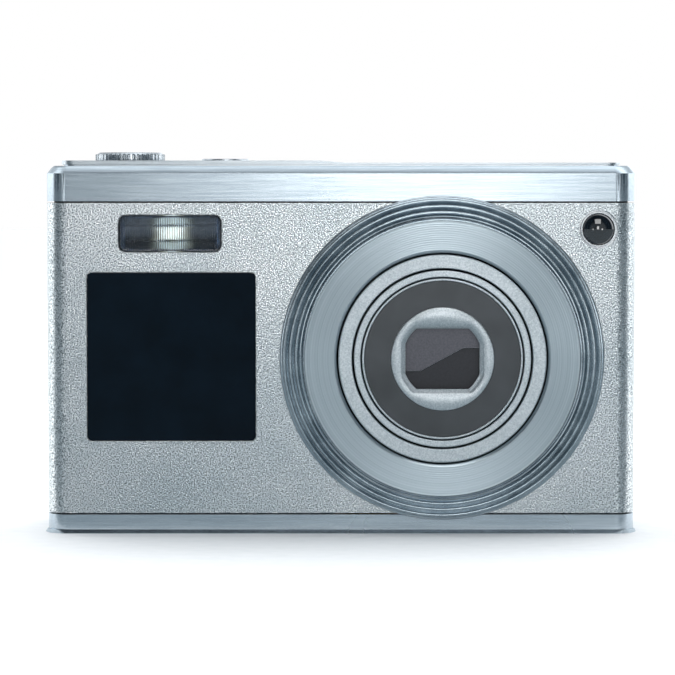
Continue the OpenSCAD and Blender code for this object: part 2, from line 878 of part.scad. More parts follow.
module memory_card() {
    chamfer = 3.5;
    color("midnightblue") translate([bay_x, 0, 5]) along_y(card_y - card_t / 2, card_y + card_t / 2)
        polygon([
            [-card_w / 2, 0], [card_w / 2, 0], [card_w / 2, card_h - chamfer],
            [card_w / 2 - chamfer, card_h], [-card_w / 2, card_h]]);
}

module card_socket() {
    half_w = card_w / 2 + 0.1;
    color("silver") difference() {
        block([bay_x - half_w - 0.7, card_y - card_t / 2 - 0.6, 12],
            [bay_x + half_w + 0.7, card_y + card_t / 2 + 0.6, 38.2]);
        block([bay_x - half_w, card_y - card_t / 2 - 0.1, 11],
            [bay_x + half_w, card_y + card_t / 2 + 0.1, 37.2]);
    }
}

module usb_socket() {
    color("silver") difference() {
        translate([0, port_y - 0.15, port_z]) along_x(46.4, side_x - 1.5) rounded(3.2, 8.94, 1.5);
        translate([0, port_y - 0.15, port_z]) along_x(48, side_x) difference() {
            rounded(2.56, 8.3, 1.2);
            square([0.7, 6.6], center = true);
        }
    }
}

module port_door() {
    color("silver") {
        block([side_x - 0.75, port_pivot[1] - 5.3, port_z - 5.5],
            [side_x, port_pivot[1] - 0.2, port_z + 5.5]);
        translate([port_pivot[0], port_pivot[1], port_z]) {
            cylinder(r = 0.6, h = 11, center = true);
            cylinder(r = 0.35, h = 13.2, center = true);
        }
    }
}

// ---------------------------------------------------------------- controls

module mode_dial() {
    rib_depth = 0.32;
    rib_step = 360 / dial_ribs;
    color("silver") translate([dial_x, controls_y, 0]) {
        translate([0, 0, deck_z + 0.1]) linear_extrude(1.2) polygon([
            for (i = [0 : dial_ribs - 1])
                for (corner = [[-0.3, 0], [-0.14, 1], [0.14, 1], [0.3, 0]])
                    (dial_r - rib_depth * (1 - corner[1]))
                        * [cos((i + corner[0]) * rib_step), sin((i + corner[0]) * rib_step)]]);
        translate([0, 0, deck_z + 1.25]) cylinder(r1 = dial_r - 0.35, r2 = dial_r - 0.7, h = 0.35);
        translate([0, 0, 63]) cylinder(r = 1.5, h = deck_z - 62);
    }
}

module shutter_button() {
    color("gainsboro") translate([shutter_x, controls_y, 0]) {
        translate([0, 0, deck_z - 0.2]) cylinder(r = shutter_r, h = 0.6);
        translate([0, 0, 65]) cylinder(r = 1.6, h = deck_z - 65);
    }
}

module power_button() {
    color("gainsboro") translate([power_x, controls_y, 0]) {
        translate([0, 0, deck_z - 0.4]) cylinder(r = power_r, h = 0.45);
        translate([0, 0, 65]) cylinder(r = 1.1, h = deck_z - 65);
    }
}

module zoom_rocker() {
    color("gainsboro") difference() {
        union() {
            translate([keys_x, 0, rocker_z]) along_y(13.6, rear_y + 0.7) rounded(14, 5, 2.4);
            translate([keys_x, rocker_pivot_y, rocker_z]) cylinder(r = 0.7, h = 7, center = true);
        }
        for (side = [-1, 1])
            translate([keys_x + side * 4.6, rear_y + 0.7, rocker_z]) rotate([0, 45, 0])
                cube([1.2, 0.4, 1.2], center = true);
    }
}

module nav_ring() {
    color("silver") rod_ring(keys_x, nav_z, nav_r, ok_r + 0.3, 14.4, rear_y + 0.6);
}

// The pad rocks up and down on the round rib on its back, and the ring
// rocks sideways on the round rib on its front
module nav_pad() {
    pad_r = nav_r - 1;
    color("black") difference() {
        union() {
            rod_y(keys_x, nav_z, pad_r, pad_back_y, pad_back_y + 1);
            rod_x(pad_back_y - 0.05, nav_z, 0.45, keys_x - pad_r + 0.3, keys_x + pad_r - 0.3);
            translate([keys_x, pad_back_y + 1.05, nav_z])
                cylinder(r = 0.35, h = 2 * pad_r - 0.6, center = true);
        }
        rod_y(keys_x, nav_z, ok_r + 0.5, pad_back_y - 1, pad_back_y + 2);
    }
}

module rod_ring(x, z, r_out, r_in, y0, y1) {
    difference() {
        rod_y(x, z, r_out, y0, y1);
        rod_y(x, z, r_in, y0 - 1, y1 + 1);
    }
}

module round_button(x, z, r) {
    rod_y(x, z, r, rear_in - 0.2, rear_y + 0.5);
    rod_y(x, z, r + 0.6, rear_in - 1, rear_in - 0.15);
    rod_y(x, z, 1.2, 12.5, rear_in);
}

module ok_button() {
    color("gainsboro") {
        rod_y(keys_x, nav_z, ok_r, 13.2, rear_y + 0.5);
        rod_y(keys_x, nav_z, 1.2, 12.5, 14);
    }
}

module playback_button() {
    color("gainsboro") round_button(keys_x - 6.5, small_button_z, small_button_r);
}

module menu_button() {
    color("gainsboro") round_button(keys_x + 6.5, small_button_z, small_button_r);
}

front_cover();
rear_cover();
top_cover();
top_plate();
bottom_cover();
chassis_frame();
lens_bezel();
lens_trim_ring();
lens_housing();
cam_ring();
outer_barrel();
middle_barrel();
inner_barrel();
front_ring();
nose_plate();
barrier_blade_upper();
barrier_blade_lower();
front_lens();
zoom_carrier();
zoom_lens();
focus_carrier();
focus_lens();
guide_rods();
sensor_plate();
image_sensor();
zoom_motor();
motor_pinion();
reduction_gear();
flash_window();
flash_reflector();
flash_tube();
flash_capacitor();
front_screen_window();
front_display();
lamp_lens();
lamp_ring();
rear_screen_window();
rear_display();
main_board();
key_board();
battery();
battery_catch();
battery_door();
battery_door_pin();
door_latch();
memory_card();
card_socket();
usb_socket();
port_door();
tripod_socket();
mode_dial();
shutter_button();
power_button();
zoom_rocker();
nav_pad();
nav_ring();
ok_button();
playback_button();
menu_button();
case_screws();
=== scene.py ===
"""A compact digital camera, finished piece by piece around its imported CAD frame."""

import json
import math

import bmesh
import bpy
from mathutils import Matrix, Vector

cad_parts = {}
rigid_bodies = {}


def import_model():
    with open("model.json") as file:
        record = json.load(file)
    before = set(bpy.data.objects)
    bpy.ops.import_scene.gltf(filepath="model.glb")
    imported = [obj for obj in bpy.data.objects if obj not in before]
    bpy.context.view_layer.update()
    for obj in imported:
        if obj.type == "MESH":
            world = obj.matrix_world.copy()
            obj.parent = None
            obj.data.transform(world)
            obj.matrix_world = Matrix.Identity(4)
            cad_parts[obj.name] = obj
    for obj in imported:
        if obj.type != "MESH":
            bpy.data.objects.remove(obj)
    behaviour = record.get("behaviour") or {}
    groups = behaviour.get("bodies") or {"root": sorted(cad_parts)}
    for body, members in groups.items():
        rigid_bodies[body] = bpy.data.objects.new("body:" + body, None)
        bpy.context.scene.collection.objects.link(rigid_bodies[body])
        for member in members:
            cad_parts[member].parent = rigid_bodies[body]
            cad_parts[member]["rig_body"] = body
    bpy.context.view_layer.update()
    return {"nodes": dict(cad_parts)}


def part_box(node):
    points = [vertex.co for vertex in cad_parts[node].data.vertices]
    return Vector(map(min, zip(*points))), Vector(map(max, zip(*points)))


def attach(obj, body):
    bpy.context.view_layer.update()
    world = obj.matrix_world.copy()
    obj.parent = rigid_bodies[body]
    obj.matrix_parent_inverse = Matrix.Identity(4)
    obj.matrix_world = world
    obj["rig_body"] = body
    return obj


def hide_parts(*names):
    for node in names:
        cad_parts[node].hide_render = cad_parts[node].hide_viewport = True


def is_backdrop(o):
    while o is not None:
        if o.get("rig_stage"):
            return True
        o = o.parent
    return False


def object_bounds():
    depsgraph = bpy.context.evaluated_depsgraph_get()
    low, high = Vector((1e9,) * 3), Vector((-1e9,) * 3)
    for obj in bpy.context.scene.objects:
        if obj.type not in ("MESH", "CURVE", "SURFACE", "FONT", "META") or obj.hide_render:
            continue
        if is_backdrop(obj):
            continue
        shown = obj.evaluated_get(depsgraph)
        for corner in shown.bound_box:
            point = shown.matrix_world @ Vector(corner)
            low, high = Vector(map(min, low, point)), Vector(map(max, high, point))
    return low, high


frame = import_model()
MM = 0.001


# ---- Front cover ----
# A drawn aluminium shell whose front panel is blasted with coarse grit, so it
# glitters. Real grit marks are finer than a quarter of a millimetre; they are
# drawn that wide so that they show. The blasting just breaks the pressed edges.
def linear(code):
    """Turns an sRGB hex code into the linear colour that the shaders work in."""
    parts = [int(code[i : i + 2], 16) / 255 for i in (0, 2, 4)]
    curve = [p / 12.92 if p <= 0.04045 else ((p + 0.055) / 1.055) ** 2.4 for p in parts]
    return (*curve, 1.0)


def grain(size_mm):
    """The texture scale at which one grain of a pattern is that many millimetres wide."""
    return 1.0 / (size_mm * MM)


def finish(name):
    """Starts an empty finish, which the sections below fill with nodes."""
    made = bpy.data.materials.new(name)
    made.use_nodes = True
    made.node_tree.nodes.clear()
    return made


def add(owner, kind, sockets=None, stops=None, **settings):
    """Adds a node with its settings, ramp stops and sockets.

    A socket given a node, or a (node, output) pair, is linked to it.
    """
    made = owner.node_tree.nodes.new("ShaderNode" + kind)
    for name, value in settings.items():
        setattr(made, name, value)
    if stops:
        elements = made.color_ramp.elements
        elements.remove(elements[1])
        elements[0].position, elements[0].color = stops[0]
        for position, colour in stops[1:]:
            elements.new(position).color = colour
    for key, value in (sockets or {}).items():
        if isinstance(value, bpy.types.Node):
            value = (value, 0)
        if isinstance(value, tuple) and isinstance(value[0], bpy.types.Node):
            owner.node_tree.links.new(value[0].outputs[value[1]], made.inputs[key])
        else:
            made.inputs[key].default_value = value
    return made


def two_tone(owner, pattern, low, high):
    """Colours a pattern from one hex code in its hollows to another on its crests."""
    return add(
        owner, "ValToRGB", {"Fac": pattern}, stops=[(0.3, linear(low)), (0.7, linear(high))]
    )


def spread(owner, pattern, low, high):
    """Turns a pattern into a value that runs from low in its hollows to high on its crests."""
    return add(
        owner,
        "MapRange",
        {"Value": pattern, "From Min": 0.3, "From Max": 0.7, "To Min": low, "To Max": high},
    )


def shade(mesh, sharp_deg):
    """Shades a mesh smooth, apart from the edges that turn more than an angle."""
    for face in mesh.polygons:
        face.use_smooth = True
    mesh.set_sharp_from_angle(angle=math.radians(sharp_deg))


def broken_edges(piece, width_mm, turn_deg=30, rounds=3):
    """Rounds a piece's sharp edges by a width, as tumbling or blasting does."""
    bevel = piece.modifiers.new("broken_edges", "BEVEL")
    bevel.width = width_mm * MM
    bevel.segments = rounds
    bevel.limit_method = "ANGLE"
    bevel.angle_limit = math.radians(turn_deg)
    bevel.miter_outer = "MITER_ARC"
    bevel.use_clamp_overlap = True
    flat = piece.modifiers.new("flat_faces", "WEIGHTED_NORMAL")
    flat.keep_sharp = True


def body_of(node):
    """The name of the frame's body that a CAD node belongs to."""
    return frame["nodes"][node]["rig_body"]


def fit(piece, node, finished):
    """Gives a piece its finish and puts it in place of its CAD node, on the same body."""
    piece.data.materials.clear()
    piece.data.materials.append(finished)
    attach(piece, body_of(node))
    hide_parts(node)
    return piece


def skin(node, width_mm, finished, sharp_deg=30):
    """Rebuilds a CAD node as one closed skin with broken edges."""
    work = bmesh.new()
    work.from_mesh(frame["nodes"][node].data)
    bmesh.ops.remove_doubles(work, verts=work.verts, dist=1e-7)
    bmesh.ops.dissolve_limit(
        work, angle_limit=math.radians(0.4), verts=work.verts, edges=work.edges
    )
    bmesh.ops.recalc_face_normals(work, faces=work.faces)
    mesh = bpy.data.meshes.new(node + "_skin")
    work.to_mesh(mesh)
    work.free()
    shade(mesh, 60)
    piece = bpy.data.objects.new(node + "_skin", mesh)
    bpy.context.scene.collection.objects.link(piece)
    broken_edges(piece, width_mm, sharp_deg)
    return fit(piece, node, finished)


blasted = finish("grit_blasted_aluminium")
where = add(blasted, "TexCoord")
grit = add(
    blasted,
    "TexNoise",
    {"Vector": (where, "Object"), "Scale": grain(0.25), "Detail": 2.0, "Roughness": 0.6},
)
cloud = add(
    blasted, "TexNoise", {"Vector": (where, "Object"), "Scale": grain(24), "Detail": 2.0}
)
tone = add(
    blasted,
    "ValToRGB",
    {"Fac": grit},
    stops=[(0.35, linear("757e82")), (0.5, linear("ced3d5")), (0.63, linear("ffffff"))],
)
wear = two_tone(blasted, cloud, "e9eef0", "ffffff")
tinted = add(
    blasted, "Mix", {0: 1.0, 6: (tone, 0), 7: (wear, 0)}, data_type="RGBA", blend_type="MULTIPLY"
)
dull = spread(blasted, grit, 0.32, 0.2)
relief = add(blasted, "Bump", {"Height": grit, "Distance": 0.06 * MM, "Strength": 0.7})
metal = add(
    blasted,
    "BsdfPrincipled",
    {"Base Color": (tinted, 2), "Metallic": 1.0, "Roughness": dull, "Normal": relief},
)
add(blasted, "OutputMaterial", {"Surface": metal})
front = skin("front_cover", 0.05, blasted)


# ---- Rear cover and port door ----
# The rear shell and the small door over the socket are the same aluminium with
# a fine bead-blasted, clear-anodised finish, smoother to the touch than the front.
satin = finish("bead_blasted_anodised_aluminium")
where = add(satin, "TexCoord")
beads = add(
    satin,
    "TexNoise",
    {"Vector": (where, "Object"), "Scale": grain(0.22), "Detail": 2.0, "Roughness": 0.5},
)
cloud = add(satin, "TexNoise", {"Vector": (where, "Object"), "Scale": grain(30), "Detail": 2.0})
tone = two_tone(satin, cloud, "b9bfc3", "c9ced1")
dull = spread(satin, beads, 0.44, 0.34)
relief = add(satin, "Bump", {"Height": beads, "Distance": 0.02 * MM, "Strength": 0.5})
metal = add(
    satin,
    "BsdfPrincipled",
    {"Base Color": tone, "Metallic": 1.0, "Roughness": dull, "Normal": relief},
)
add(satin, "OutputMaterial", {"Surface": metal})
skin("rear_cover", 0.14, satin)
skin("port_door", 0.12, satin)


# ---- Top cover, bottom cover and battery door ----
# Die-cast frames plated with satin chrome: a cool bluish metal, brushed along
# the width, that mirrors a soft gradient. A black lip inside the top cover and
# black faces inside and on top of the covers fill their seam with painted shade;
# the bottom cover's foot flares into a skirt.
chrome = finish("satin_chrome_plating")
where = add(chrome, "TexCoord")
along = add(chrome, "Mapping", {"Vector": (where, "Object"), "Scale": (0.03, 1.0, 1.0)})
brush = add(
    chrome,
    "TexNoise",
    {"Vector": along, "Scale": grain(0.3), "Detail": 3.0, "Roughness": 0.6},
)
cloud = add(chrome, "TexNoise", {"Vector": (where, "Object"), "Scale": grain(35), "Detail": 2.0})
tone = add(
    chrome,
    "ValToRGB",
    {"Fac": brush},
    stops=[(0.25, linear("aebac3")), (0.75, linear("c9d3da"))],
)
dull = spread(chrome, cloud, 0.2, 0.28)
relief = add(chrome, "Bump", {"Height": brush, "Distance": 0.008 * MM, "Strength": 0.4})
metal = add(
    chrome,
    "BsdfPrincipled",
    {"Base Color": tone, "Metallic": 1.0, "Roughness": dull, "Normal": relief},
)
add(chrome, "OutputMaterial", {"Surface": metal})
top = skin("top_cover", 0.1, chrome)
# Painted shade: black for the top cover's inner faces, the front cover's top rim and the lip, so
# that the seam between the covers reads dark.
seam_shade_black = finish("black_painted_seam_shade")
where = add(seam_shade_black, "TexCoord")
mist = add(seam_shade_black, "TexNoise", {"Vector": (where, "Object"), "Scale": grain(0.8), "Detail": 3.0})
tone = two_tone(seam_shade_black, mist, "0b0c0e", "16181b")
coat = add(seam_shade_black, "BsdfPrincipled", {"Base Color": tone, "Roughness": 0.7})
add(seam_shade_black, "OutputMaterial", {"Surface": coat})
SEAM_DEPTH = 0.3 * MM
shell_low, shell_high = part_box("front_cover")
top_low, top_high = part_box("top_cover")
for piece in (top, front):
    piece.data.materials.append(seam_shade_black)
    for face in piece.data.polygons:
        x, y, z = face.center
        inside = abs(x) < shell_high.x - SEAM_DEPTH and (
            shell_low.y + SEAM_DEPTH < y < top_high.y - SEAM_DEPTH
        )
        if (piece is top and inside and z < shell_high.z + SEAM_DEPTH) or (
            piece is front and z > shell_high.z - 0.01 * MM
        ):
            face.material_index = 1

# The lip is a black band that fills the seam gap with painted shade.
LIP_INSET, LIP_WALL, LIP_CORNER = 1.3, 0.35, 2.7
LIP_DROP, LIP_RISE, STEP_OUT, STEP_UP = 0.8, 1.2, 0.2, 0.05


def lip_ring(work, inset_mm, z):
    """One rounded rectangle of the lip, inset from the covers' outline."""
    r = (LIP_CORNER - (inset_mm - LIP_INSET)) * MM
    right = shell_high.x - LIP_INSET * MM - LIP_CORNER * MM
    back = top_high.y - (LIP_INSET + LIP_CORNER) * MM
    front_side = shell_low.y + (LIP_INSET + LIP_CORNER) * MM
    ring = []
    for corner, centre in enumerate(
        ((right, back), (-right, back), (-right, front_side), (right, front_side))
    ):
        for i in range(7):
            a = math.radians(90 * corner + 15 * i)
            ring.append(
                work.verts.new((centre[0] + r * math.cos(a), centre[1] + r * math.sin(a), z))
            )
    return ring


lip_foot, lip_head = shell_high.z - LIP_DROP * MM, shell_high.z + LIP_RISE * MM
lip_step = top_low.z + STEP_UP * MM
work = bmesh.new()
work.from_mesh(top.data)
lip = [
    lip_ring(work, LIP_INSET, lip_foot),
    lip_ring(work, LIP_INSET, lip_step),
    lip_ring(work, LIP_INSET - STEP_OUT, lip_step),
    lip_ring(work, LIP_INSET - STEP_OUT, lip_head),
    lip_ring(work, LIP_INSET + LIP_WALL, lip_head),
    lip_ring(work, LIP_INSET + LIP_WALL, lip_foot),
]
for low, high in zip(lip, lip[1:] + lip[:1]):
    for i in range(len(low)):
        j = (i + 1) % len(low)
        work.faces.new((low[i], low[j], high[j], high[i])).material_index = 1
bmesh.ops.recalc_face_normals(work, faces=work.faces)
work.to_mesh(top.data)
work.free()
bottom = skin("bottom_cover", 0.04, chrome)
bottom.modifiers["broken_edges"].miter_outer = "MITER_SHARP"
FOOT_Z, SKIRT_Z = 0.7, 0.05
for point in bottom.data.vertices:
    outside = abs(point.co.x) > 55.2 * MM or not -13.2 * MM < point.co.y < 16.2 * MM
    if outside and abs(point.co.z - FOOT_Z * MM) < 0.001 * MM:
        point.co.z = SKIRT_Z * MM
skin("battery_door", 0.1, chrome)


# ---- Top plate ----
# A thin pressed aluminium plate that lies on the top cover and steps up under
# the dial and the buttons, brushed lengthways, with fifteen drilled sound holes.
deck = finish("lengthwise_brushed_aluminium")
where = add(deck, "TexCoord")
along = add(deck, "Mapping", {"Vector": (where, "Object"), "Scale": (0.02, 1.0, 1.0)})
brush = add(
    deck, "TexNoise", {"Vector": along, "Scale": grain(0.25), "Detail": 4.0, "Roughness": 0.65}
)
tone = two_tone(deck, brush, "b4bcc2", "dadfe2")
dull = spread(deck, brush, 0.26, 0.36)
relief = add(deck, "Bump", {"Height": brush, "Distance": 0.012 * MM, "Strength": 0.5})
metal = add(
    deck,
    "BsdfPrincipled",
    {"Base Color": tone, "Metallic": 1.0, "Roughness": dull, "Normal": relief},
)
add(deck, "OutputMaterial", {"Surface": metal})
skin("top_plate", 0.08, deck)


# ---- Lens bezel ----
# A ring turned from aluminium bar with three bright ridges round its rim and a
# rising lip inside them. The cutter leaves polished walls and dull roots.
bezel_low, bezel_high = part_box("lens_bezel")
LENS_X = (bezel_low.x + bezel_high.x) / 2
LENS_Z = (bezel_low.z + bezel_high.z) / 2


def link(name, mesh):
    """Puts a new mesh in the scene as an object."""
    piece = bpy.data.objects.new(name, mesh)
    bpy.context.scene.collection.objects.link(piece)
    return piece


def lofted(name, rings, closed=True, sharp_deg=30):
    """Skins a closed band over rings of equal count, or of one point, which makes a cap."""
    work = bmesh.new()
    made = [[work.verts.new(p) for p in ring] for ring in rings]
    pairs = list(zip(made, made[1:])) + ([(made[-1], made[0])] if closed else [])
    for low, high in pairs:
        count = max(len(low), len(high))
        for i in range(count):
            j = (i + 1) % count
            if len(low) == 1:
                work.faces.new((low[0], high[j], high[i]))
            elif len(high) == 1:
                work.faces.new((low[i], low[j], high[0]))
            else:
                work.faces.new((low[i], low[j], high[j], high[i]))
    bmesh.ops.recalc_face_normals(work, faces=work.faces)
    mesh = bpy.data.meshes.new(name)
    work.to_mesh(mesh)
    work.free()
    shade(mesh, sharp_deg)
    return link(name, mesh)


def turned(name, profile, centre, steps=256, closed=True, sharp_deg=30):
    """Turns a profile of (radius, forward) millimetres round an axis that points to the front."""
    rings = []
    for radius, forward in profile:
        count = steps if radius > 0 else 1
        rings.append(
            [
                (
                    centre[0] + radius * MM * math.cos(2 * math.pi * i / steps),
                    -forward * MM,
                    centre[1] + radius * MM * math.sin(2 * math.pi * i / steps),
                )
                for i in range(count)
            ]
        )
    return lofted(name, rings, closed, sharp_deg)


RIDGE_GAP, RIDGE_RISE = 1.12, 0.42
ridges = []
for i in range(3):
    r, h = 29.36 - i * RIDGE_GAP, 14.5 + i * RIDGE_RISE
    ridges += [
        (r + 0.36, h - 0.46),
        (r + 0.29, h - 0.12),
        (r + 0.2, h),
        (r + 0.02, h + 0.06),
        (r - 0.14, h + 0.03),
        (r - 0.22, h - 0.08),
        (r - 0.33, h - 0.38),
    ]
bezel = turned(
    "ridged_lens_bezel",
    [(19.65, 13), (30.2, 13), (30.2, 13.85), (30.12, 13.97), (30.0, 14.02)]
    + ridges
    + [(26.3, 15.55), (26.1, 15.66), (25.86, 16.12), (25.78, 16.2), (25.66, 16.2), (25.6, 16.12)]
    + [(25.6, 15.5), (19.65, 15.5)],
    (LENS_X, LENS_Z),
    steps=320,
)
polished = finish("turned_aluminium_ridges")
where = add(polished, "TexCoord")
smear = add(
    polished,
    "TexNoise",
    {"Vector": (where, "Object"), "Scale": grain(6), "Detail": 3.0, "Roughness": 0.6},
)
tone = two_tone(polished, smear, "98a4ac", "b6c0c6")
dull = spread(polished, smear, 0.16, 0.26)
scratch = add(
    polished, "TexNoise", {"Vector": (where, "Object"), "Scale": grain(0.15), "Detail": 1.0}
)
relief = add(polished, "Bump", {"Height": scratch, "Distance": 0.006 * MM, "Strength": 0.5})
metal = add(
    polished,
    "BsdfPrincipled",
    {"Base Color": tone, "Metallic": 1.0, "Roughness": dull, "Normal": relief},
)
add(polished, "OutputMaterial", {"Surface": metal})
fit(bezel, "lens_bezel", polished)


# ---- Trim ring ----
# A flat aluminium washer pressed into the bezel. Its face is turned with a
# pointed tool, which leaves concentric grooves that spread the light. They are
# drawn 0.4 mm apart so that they show; a bright chamfer runs round the bore.
GROOVE_PITCH, GROOVE_DEPTH, GROOVE_STEPS = 0.4, 0.016, 8
grooved = []
GROOVES, OUTER_GROOVE_R = 13, 25.42
for i in range(GROOVES * GROOVE_STEPS + 1):
    wave = 0.5 - 0.5 * math.cos(2 * math.pi * i / GROOVE_STEPS)
    grooved.append((OUTER_GROOVE_R - i * GROOVE_PITCH / GROOVE_STEPS, 16.1 - GROOVE_DEPTH * wave))
trim = turned(
    "turned_trim_ring",
    [(19.65, 15.5), (25.55, 15.5), (25.55, 16.04), (25.5, 16.1)]
    + grooved
    + [(20.18, 16.1), (20.1, 16.08), (19.7, 15.84), (19.65, 15.78)],
    (LENS_X, LENS_Z),
    steps=320,
)
disc = finish("facing_turned_aluminium")
where = add(disc, "TexCoord")
from_axis = add(
    disc,
    "VectorMath",
    {0: (where, "Object"), 1: (LENS_X, 0.0, LENS_Z)},
    operation="SUBTRACT",
)
across = add(disc, "VectorMath", {0: from_axis, 1: (1.0, 0.0, 1.0)}, operation="MULTIPLY")
radius = add(disc, "VectorMath", {0: across}, operation="LENGTH")
passes = add(
    disc,
    "TexNoise",
    {"W": (radius, "Value"), "Scale": grain(0.35), "Detail": 3.0, "Roughness": 0.7},
    noise_dimensions="1D",
)
tone = two_tone(disc, passes, "a6b3ba", "bdc8ce")
dull = spread(disc, passes, 0.28, 0.35)
lay = add(disc, "Tangent", direction_type="RADIAL", axis="Y")
metal = add(
    disc,
    "BsdfPrincipled",
    {
        "Base Color": tone,
        "Metallic": 1.0,
        "Roughness": dull,
        "Anisotropic": 0.6,
        "Anisotropic Rotation": 0.25,
        "Tangent": lay,
    },
)
add(disc, "OutputMaterial", {"Surface": metal})
fit(trim, "lens_trim_ring", disc)


# ---- Lens barrels and nose plate ----
# Three thin aluminium tubes slide out one from another, each with a chamfered
# front edge, and a nose plate closes the smallest. They are fine-blasted and
# clear-anodised, so they look like frosted silver.
frosted = finish("fine_blasted_barrel_aluminium")
where = add(frosted, "TexCoord")
beads = add(
    frosted, "TexNoise", {"Vector": (where, "Object"), "Scale": grain(0.28), "Detail": 2.0}
)
cloud = add(frosted, "TexNoise", {"Vector": (where, "Object"), "Scale": grain(12), "Detail": 2.0})
tone = two_tone(frosted, beads, "bac3c8", "dce2e5")
dull = spread(frosted, cloud, 0.34, 0.42)
relief = add(frosted, "Bump", {"Height": beads, "Distance": 0.03 * MM, "Strength": 0.5})
metal = add(
    frosted,
    "BsdfPrincipled",
    {"Base Color": tone, "Metallic": 1.0, "Roughness": dull, "Normal": relief},
)
add(frosted, "OutputMaterial", {"Surface": metal})
for tube in ("outer_barrel", "middle_barrel", "inner_barrel"):
    skin(tube, 0.05, frosted)

OPENING_R, OPENING_W, OPENING_H = 7.4, 13.7, 11.2


def opening(grow):
    """The nose opening's outline: four cut sides joined by arcs, as (x, z) millimetres."""
    r, w, h = OPENING_R + grow, OPENING_W / 2 + grow, OPENING_H / 2 + grow
    low, high = math.acos(w / r), math.asin(h / r)
    outline = []
    for quarter in range(4):
        turn = [(1, 1), (-1, 1), (-1, -1), (1, -1)][quarter]
        arc = [low + (high - low) * i / 16 for i in range(17)]
        points = [(r * math.cos(a) * turn[0], r * math.sin(a) * turn[1]) for a in arc]
        if quarter % 2:
            points.reverse()
        end = points[-1]
        after = (-end[0], end[1]) if quarter % 2 == 0 else (end[0], -end[1])
        cut = [
            (end[0] + (after[0] - end[0]) * i / 16, end[1] + (after[1] - end[1]) * i / 16)
            for i in range(1, 16)
        ]
        outline += points + cut
    return outline


def opening_ring(grow, forward):
    return [(LENS_X + x * MM, -forward * MM, LENS_Z + z * MM) for x, z in opening(grow)]


def round_ring(radius, forward):
    """A circle whose points face those of the opening, so that the two loft cleanly."""
    ring = []
    for x, z in opening(0.4):
        reach = radius * MM / math.hypot(x, z)
        ring.append((LENS_X + x * reach, -forward * MM, LENS_Z + z * reach))
    return ring


nose = lofted(
    "nose_plate_with_opening",
    [
        round_ring(10.46, 15.7),
        round_ring(10.46, 16.05),
        round_ring(9.56, 16.05),
        round_ring(9.56, 16.85),
        round_ring(9.51, 16.95),
        round_ring(9.41, 17.0),
        opening_ring(0.86, 17.0),
        opening_ring(0.78, 16.96),
        opening_ring(0.06, 16.31),
        opening_ring(0.0, 16.24),
        opening_ring(0.0, 15.7),
    ],
)
fit(nose, "nose_plate", frosted)


# ---- Front ring ----
# A black-anodised ring with a clear gloss coat, glued round the nose plate. It
# mirrors the room dimly, paler towards the top.
ring = turned(
    "dark_front_ring",
    [(9.6, 16.1), (14.45, 16.1), (14.45, 16.44), (14.4, 16.5), (9.65, 16.5), (9.6, 16.44)],
    (LENS_X, LENS_Z),
)
smoked = finish("gloss_black_anodising")
where = add(smoked, "TexCoord")
dust = add(smoked, "TexNoise", {"Vector": (where, "Object"), "Scale": grain(0.5), "Detail": 3.0})
cloud = add(smoked, "TexNoise", {"Vector": (where, "Object"), "Scale": grain(8), "Detail": 2.0})
tone = two_tone(smoked, cloud, "3f4143", "4b4d50")
dull = spread(smoked, dust, 0.3, 0.36)
metal = add(
    smoked,
    "BsdfPrincipled",
    {
        "Base Color": tone,
        "Metallic": 0.8,
        "Roughness": dull,
        "Coat Weight": 1.0,
        "Coat Roughness": 0.08,
    },
)
add(smoked, "OutputMaterial", {"Surface": metal})
fit(ring, "front_ring", smoked)


# ---- Barrier blades ----
# Two spring-steel leaves, painted grey and near-black, that cover the front
# lens behind the nose opening and swing apart as the barrels come out.
def painted(name, dark, pale, roughness):
    """A thin coat of fine-grained paint, with the slight mottling of a spray gun."""
    made = finish(name)
    where = add(made, "TexCoord")
    mist = add(made, "TexNoise", {"Vector": (where, "Object"), "Scale": grain(0.35), "Detail": 3.0})
    tone = two_tone(made, mist, dark, pale)
    relief = add(made, "Bump", {"Height": mist, "Distance": 0.01 * MM, "Strength": 0.4})
    dull = spread(made, mist, roughness, roughness + 0.08)
    coat = add(
        made,
        "BsdfPrincipled",
        {"Base Color": tone, "Roughness": dull, "Normal": relief, "IOR": 1.5},
    )
    add(made, "OutputMaterial", {"Surface": coat})
    return made


upper_leaf = skin(
    "barrier_blade_upper", 0.11, painted("grey_leaf_paint", "46464e", "5a5a62", 0.32)
)
upper_leaf.data.materials.append(frosted)
upper_leaf.modifiers["broken_edges"].material = 1
skin(
    "barrier_blade_lower", 0.07, painted("black_leaf_paint", "1d1e25", "282931", 0.36)
)


